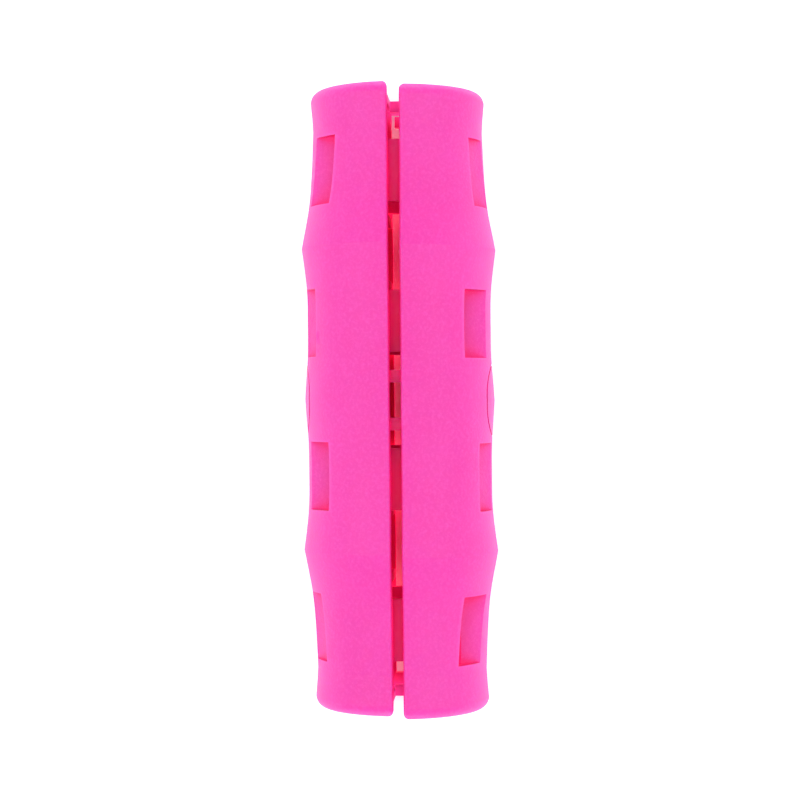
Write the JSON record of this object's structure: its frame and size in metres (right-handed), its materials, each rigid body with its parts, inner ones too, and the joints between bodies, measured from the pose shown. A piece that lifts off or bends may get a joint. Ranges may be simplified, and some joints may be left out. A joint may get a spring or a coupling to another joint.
{
  "type": "clip-on bail handle grip",
  "caption": "Barrel-shaped clip-on hand grip with finger grooves: identical half shells clip together round a wire bail handle and turn freely on it.",
  "frame": {"origin": "centre of the bounding box in plan, at the bottom of the grip as it lies on its back edges with the finger slot up", "axes": "+Y along the wire and the barrel, +Z out of the front slot, halves apart along X"},
  "size_m": [0.0348, 0.1106, 0.0346],
  "materials": {
    "pink_polypropylene": "fine matte moulded texture"
  },
  "bodies": {
    "left_half": {"left_shell": "pink_polypropylene", "left_wire_webs": "pink_polypropylene", "left_front_outer_tongue": "pink_polypropylene", "left_front_inner_tongue": "pink_polypropylene", "left_back_outer_tongue": "pink_polypropylene", "left_back_inner_tongue": "pink_polypropylene", "left_centre_tab": "pink_polypropylene", "left_end_key": "pink_polypropylene", "left_medallion": "pink_polypropylene"},
    "right_half": {"right_shell": "pink_polypropylene", "right_wire_webs": "pink_polypropylene", "right_front_outer_tongue": "pink_polypropylene", "right_front_inner_tongue": "pink_polypropylene", "right_back_outer_tongue": "pink_polypropylene", "right_back_inner_tongue": "pink_polypropylene", "right_centre_tab": "pink_polypropylene", "right_end_key": "pink_polypropylene", "right_medallion": "pink_polypropylene"}
  },
  "joints": [
    {"name": "pull_apart", "type": "slide", "parent": "left_half", "child": "right_half", "axis": [1, 0, 0], "range_m": [0, 0.03], "deforming": ["left_front_outer_tongue", "left_front_inner_tongue", "left_back_outer_tongue", "left_back_inner_tongue", "right_front_outer_tongue", "right_front_inner_tongue", "right_back_outer_tongue", "right_back_inner_tongue"]}
  ]
}
